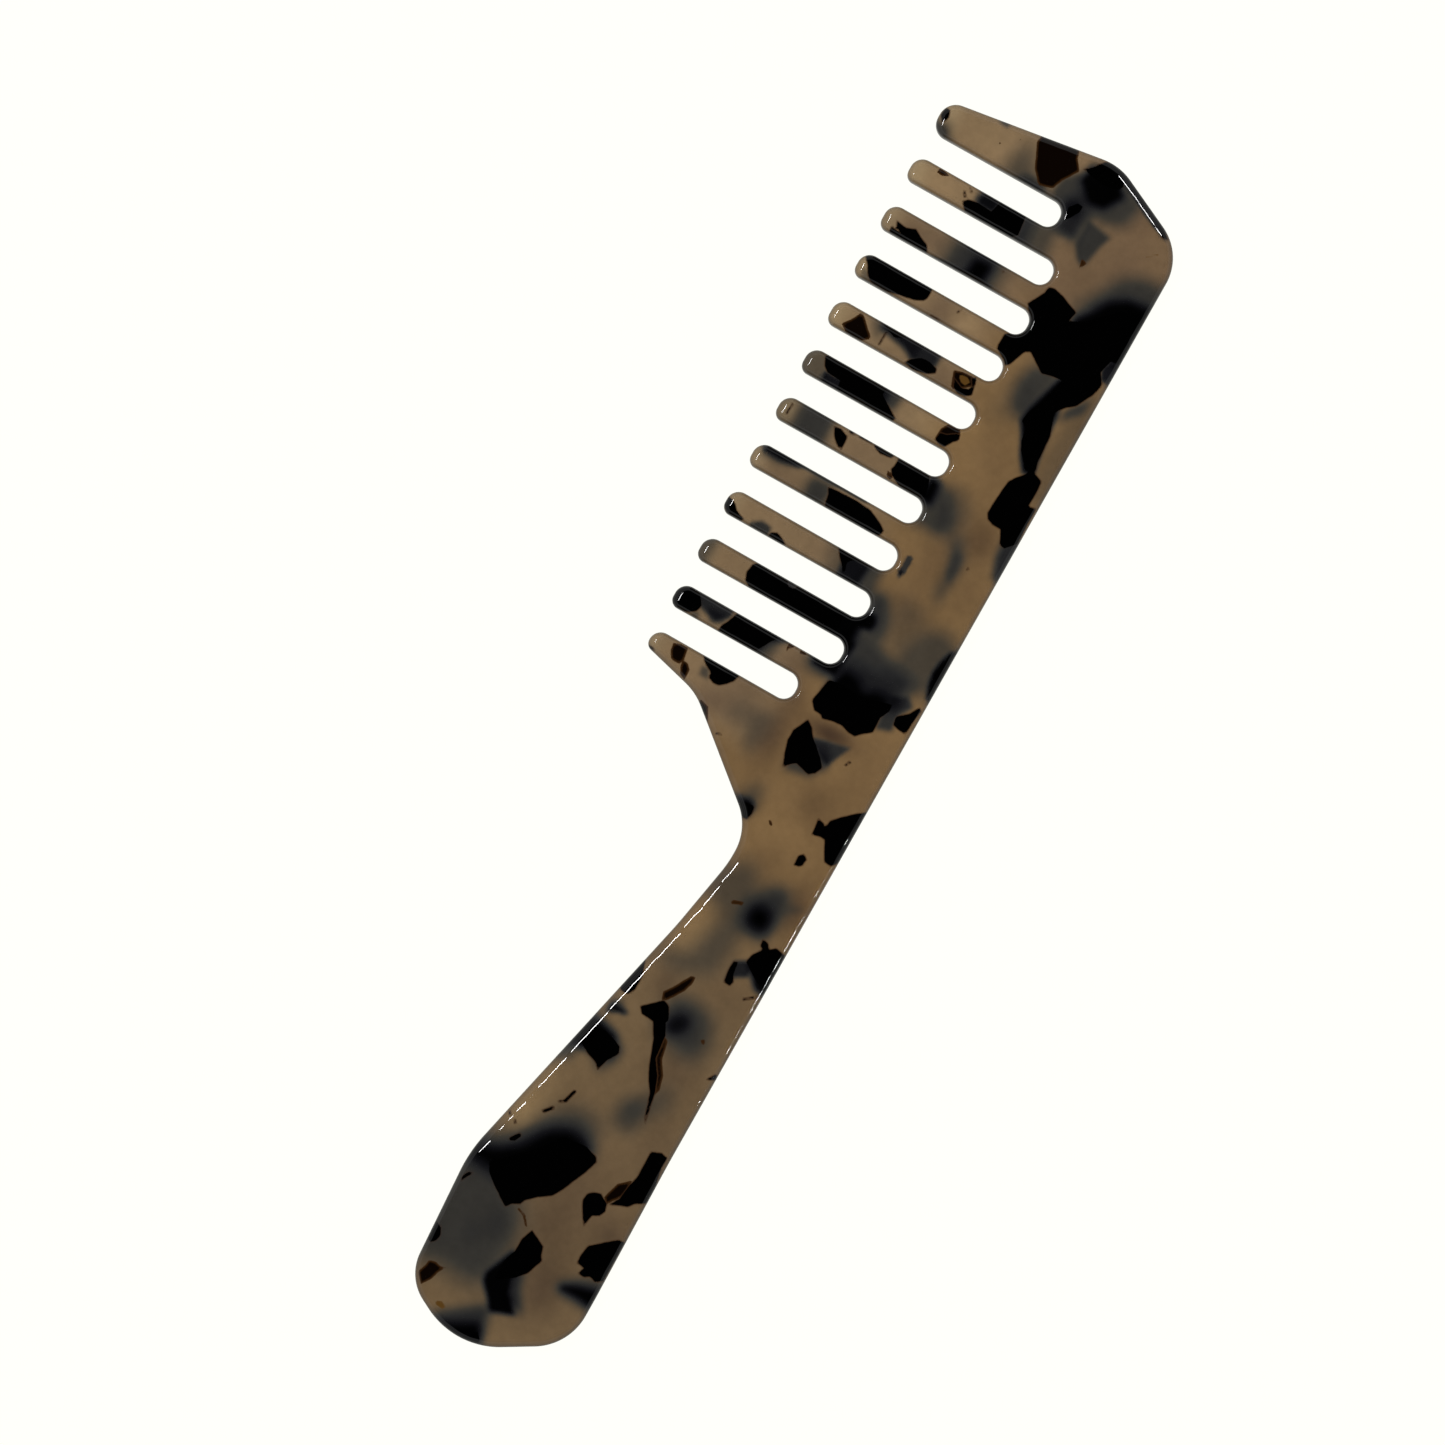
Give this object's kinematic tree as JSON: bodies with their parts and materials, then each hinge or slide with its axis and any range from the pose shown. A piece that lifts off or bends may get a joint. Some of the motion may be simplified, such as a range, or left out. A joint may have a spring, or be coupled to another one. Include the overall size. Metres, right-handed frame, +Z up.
{
  "type": "hair comb",
  "caption": "Flat one-piece comb with a broad paddle handle, a narrow neck and a straight spine carrying a row of wide-set, round-ended teeth.",
  "frame": {"origin": "the middle of the outline's box, on the underside that the comb lies on", "axes": "+X along the straight back edge from the end of the handle to the nose, +Y the way the teeth point, +Z up through the thickness, out of the face that the viewer sees"},
  "size_m": [0.19, 0.0402, 0.004],
  "materials": {
    "tortoiseshell": "hand-polished tortoiseshell cellulose acetate: a milky tan, slightly translucent ground with sharp-edged black chips, brown flecks and blurred grey shadows of deeper chips"
  },
  "bodies": {
    "root": {"handle": "tortoiseshell", "spine": "tortoiseshell", "heel_tooth": "tortoiseshell", "tooth_2": "tortoiseshell", "tooth_3": "tortoiseshell", "tooth_4": "tortoiseshell", "tooth_5": "tortoiseshell", "tooth_6": "tortoiseshell", "tooth_7": "tortoiseshell", "tooth_8": "tortoiseshell", "tooth_9": "tortoiseshell", "tooth_10": "tortoiseshell", "tooth_11": "tortoiseshell", "front_tooth": "tortoiseshell"}
  },
  "joints": []
}
